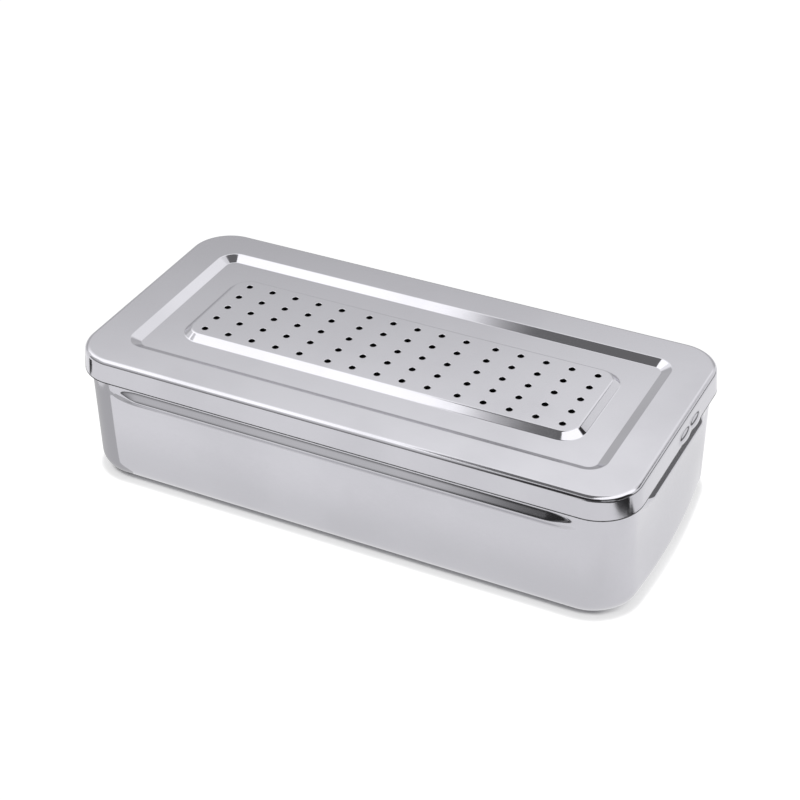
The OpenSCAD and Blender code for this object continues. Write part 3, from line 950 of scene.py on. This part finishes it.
def floor_material(settings):
    """Pale matt floor that keeps the shadow, lifted to white where the picture or a reflection sees it, and
    lifted less where the tray closes it in, which paints a contact shadow.
    """
    material = bpy.data.materials.new("pale_floor")
    material.use_nodes = True
    tree = material.node_tree
    shader = tree.nodes["Principled BSDF"]
    feed(tree, shader.inputs["Base Color"], (*settings.floor_tone, 1.0))
    feed(tree, shader.inputs["Roughness"], FLOOR_ROUGHNESS)
    feed(tree, shader.inputs["Specular IOR Level"], 0.0)
    open_sky = add_node(tree, "ShaderNodeAmbientOcclusion", "Open to the light",
                        Distance=settings.contact_reach)
    contact = add_node(tree, "ShaderNodeValToRGB", "Dark line, then half shade", open_sky.outputs["AO"])
    stops = contact.color_ramp.elements
    for place, _ in CONTACT_SHADE[1:-1]:
        stops.new(place)
    for stop, (place, grey) in zip(stops, CONTACT_SHADE):
        stop.position = place
        stop.color = (grey, grey, grey, 1.0)
    where = add_node(tree, "ShaderNodeTexCoord", "Place on the floor")
    split = add_node(tree, "ShaderNodeSeparateXYZ", "Along the tray", where.outputs["Object"])
    window = add_node(tree, "ShaderNodeMapRange", "Window side", Value=split.outputs["X"],
                      From_Min=WINDOW_START, From_Max=WINDOW_END, To_Max=WINDOW_SHADE)
    lighter = add_node(tree, "ShaderNodeMath", "No dark line at the window side", contact.outputs["Color"],
                       window.outputs["Result"], operation="MAXIMUM")
    share = add_node(tree, "ShaderNodeMath", "Lift where open", lighter.outputs["Value"],
                     settings.floor_lift, operation="MULTIPLY")
    amount = add_node(tree, "ShaderNodeMath", "Lift amount", seen_directly(tree), share.outputs["Value"],
                      operation="MULTIPLY")
    lift = add_node(tree, "ShaderNodeEmission", "Lift to white", Strength=amount.outputs["Value"])
    both = add_node(tree, "ShaderNodeAddShader", "Floor and lift", shader.outputs["BSDF"],
                    lift.outputs["Emission"])
    feed(tree, tree.nodes["Material Output"].inputs["Surface"], both.outputs["Shader"])
    return material


def white_world(scene, settings):
    """White surround for the picture and reflections, and soft light of its own strength on matt surfaces."""
    world = bpy.data.worlds.new("white_studio")
    world.use_nodes = True
    tree = world.node_tree
    level = add_node(tree, "ShaderNodeMapRange", "White where seen", Value=seen_directly(tree),
                     To_Min=settings.ambient)
    surround = tree.nodes["Background"]
    feed(tree, surround.inputs["Color"], (1.0, 1.0, 1.0, 1.0))
    feed(tree, surround.inputs["Strength"], level.outputs["Result"])
    scene.world = world


# Height of the dim ceiling, and of the bright cards just below it
CEILING = 1.2
BRIGHT_HEIGHT = 1.188
# Height of the large patch of painted shadow round the tray's foot, below the other patches on the floor
FOOT_HEIGHT = 0.0001
# Strengths of the plain cards
DARK = 0.03
DIM = 0.2
HALF_LIT = 0.45
GREY = 0.62
FOOT_SHADOW = 0.95
RIGHT = 1.05
BRIGHT = 1.75


def add_reflection_cards():
    """Dark, grey and bright cards round the object, as in the room that the steel was photographed in, with a
    large patch of painted shadow on the floor round the tray's foot.
    """
    dark = card_material("dark_card", DARK, softness=0.05)
    dim = card_material("dim_card", DIM, softness=0.05)
    half_lit = card_material("half_lit_card", HALF_LIT, softness=0.15)
    grey = card_material("grey_card", GREY, softness=0.004)
    shade = card_material("shade_card", DARK, softness=0.006)
    foot = card_material("foot_shadow_card", FOOT_SHADOW, softness=0.146)
    bright = card_material("bright_card", BRIGHT, softness=0.02)
    right = card_material("right_card", RIGHT, softness=0.03)
    back = card_material("back_card", strength=1.756, softness=0.03, change=(1.358, -2.664, 3.097),
                         limits=(0.66, 1.30))
    front = card_material("front_card", strength=0.17, softness=0.03, change=(0.0, 0.0, 1.17),
                          limits=(0.21, 1.37))
    reflection_card("ceiling_dim", flat_card(
        x_range=(-0.48, 0.54), y_range=(-1.2, 0.54), height=CEILING), dim)
    reflection_card("ceiling_left", flat_card(
        x_range=(-2.04, -0.3816), y_range=(-1.2, 0.66), height=BRIGHT_HEIGHT), bright)
    reflection_card("ceiling_right", flat_card(
        x_range=(0.12, 1.68), y_range=(-1.08, 0.9), height=BRIGHT_HEIGHT), bright)
    reflection_card("right_dark", round_card(
        azimuth_range=(36.0, 62.0), elevation_range=(25.0, 37.0), distance=3.0), dark)
    reflection_card("half_lit", round_card(
        azimuth_range=(-62.0, -28.0), elevation_range=(3.0, 28.0), distance=1.25), half_lit)
    reflection_card("front_dark", round_card(
        azimuth_range=(-111.0, 14.0), elevation_range=(-3.0, 46.0), distance=1.3), dark)
    reflection_card("front_wall", round_card(
        azimuth_range=(-130.0, -60.0), elevation_range=(-3.0, 56.0), distance=1.4), front)
    reflection_card("left_wall", round_card(
        azimuth_range=(-170.0, -128.0), elevation_range=(-3.0, 44.0), distance=1.41), front)
    reflection_card("right_wall", round_card(
        azimuth_range=(20.0, 80.0), elevation_range=(-2.0, 66.0), distance=5.6), right)
    reflection_card("back_wall", round_card(
        azimuth_range=(78.0, 172.0), elevation_range=(-2.0, 66.0), distance=5.5), back)
    reflection_card("front_strip", standing_card(start=(-1.0, -0.5), end=(0.35, -0.5), height=0.085), dim)
    reflection_card("right_strip", standing_card(start=(0.5, -0.15), end=(0.5, 1.0), height=0.125), dim)
    reflection_card("left_floor", floor_card(
        first=(-0.09, -0.05), second=(-0.147, -0.098), third=(-0.174, 0.0), fourth=(-0.1, 0.3)), grey)
    reflection_card("left_shade", floor_card(
        first=(-0.182, -0.046), second=(-0.189, -0.068), third=(-0.209, -0.071),
        fourth=(-0.203, -0.044)), shade)
    reflection_card("near_shade", floor_card(
        first=(0.165, -0.060), second=(0.1795, -0.060), third=(0.1925, -0.022),
        fourth=(0.165, -0.004)), shade)
    reflection_card("far_shade", floor_card(
        first=(0.182, -0.19), second=(0.60, -0.19), third=(0.60, -0.03), fourth=(0.186, -0.03)), shade)
    reflection_card("front_shade", floor_card(
        first=(0.05, -0.19), second=(0.60, -0.19), third=(0.60, -0.80), fourth=(0.05, -0.80)), shade)
    # Painted shadow: the floor round the tray's foot is a little darker where the walls' lower parts reflect
    # it, fading outwards
    reflection_card("foot_shade", flat_card(
        x_range=(-0.145, 0.145), y_range=(-0.0855, 0.0855), height=FOOT_HEIGHT), foot)


def placed(name, data, place, turn):
    """A lamp or camera in the scene, at its place and turned."""
    thing = bpy.data.objects.new(name, data)
    thing.location = place
    thing.rotation_euler = turn
    bpy.context.scene.collection.objects.link(thing)
    return thing


class MakeStudio(bpy.types.Operator):
    """Make the pale floor, the soft light, the reflection cards and the camera"""

    bl_idname = "instrument_tray.make_studio"
    bl_label = "Make the studio"

    def execute(self, context):
        scene = context.scene
        settings = scene.studio_settings
        reach = (-settings.floor_reach, settings.floor_reach)
        stage_surface("floor", flat_card(reach, reach, height=0.0), floor_material(settings))
        add_reflection_cards()
        white_world(scene, settings)
        light = bpy.data.lights.new("soft_lamp", "AREA")
        light.energy = settings.lamp_power
        light.size = settings.lamp_size
        lamp = placed("soft_lamp", light, settings.lamp_place, settings.lamp_turn)
        lamp.visible_glossy = False
        lens = bpy.data.cameras.new("camera")
        lens.lens = settings.lens
        lens.sensor_width = SENSOR_WIDTH
        scene.camera = placed("camera", lens, settings.camera_place, settings.camera_turn)
        scene.view_settings.view_transform = "Standard"
        return {"FINISHED"}


class InstrumentTrayPanel(bpy.types.Panel):
    """Lists the pieces and their settings."""

    bl_idname = "VIEW3D_PT_instrument_tray"
    bl_label = "Instrument tray"
    bl_space_type = "VIEW_3D"
    bl_region_type = "UI"
    bl_category = "Instrument tray"

    def draw(self, context):
        layout = self.layout
        for operator in OPERATORS:
            layout.operator(operator.bl_idname)
        for settings in SETTINGS:
            group = getattr(context.scene, settings)
            layout.label(text=settings.replace("_", " ").capitalize())
            for title in group.bl_rna.properties.keys():
                if title not in ("rna_type", "name"):
                    layout.prop(group, title)


OPERATORS = (MakeTray, MakeLid, MakeStudio)
SETTINGS = {
    "lid_sizes": LidSizes,
    "tray_sizes": TraySizes,
    "steel_finish": SteelFinish,
    "studio_settings": StudioSettings,
}


def register():
    """Register the settings, the operators and the panel."""
    for title, settings in SETTINGS.items():
        bpy.utils.register_class(settings)
        setattr(bpy.types.Scene, title, PointerProperty(type=settings))
    for entry in (*OPERATORS, InstrumentTrayPanel):
        bpy.utils.register_class(entry)


def unregister():
    """Take away the panel, the operators and the settings."""
    for entry in (InstrumentTrayPanel, *OPERATORS):
        bpy.utils.unregister_class(entry)
    for title, settings in SETTINGS.items():
        delattr(bpy.types.Scene, title)
        bpy.utils.unregister_class(settings)


def main():
    """Register the add-on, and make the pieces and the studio."""
    register()
    bpy.ops.instrument_tray.make_tray()
    bpy.ops.instrument_tray.make_lid()
    bpy.ops.instrument_tray.make_studio()


if __name__ == "__main__":
    main()
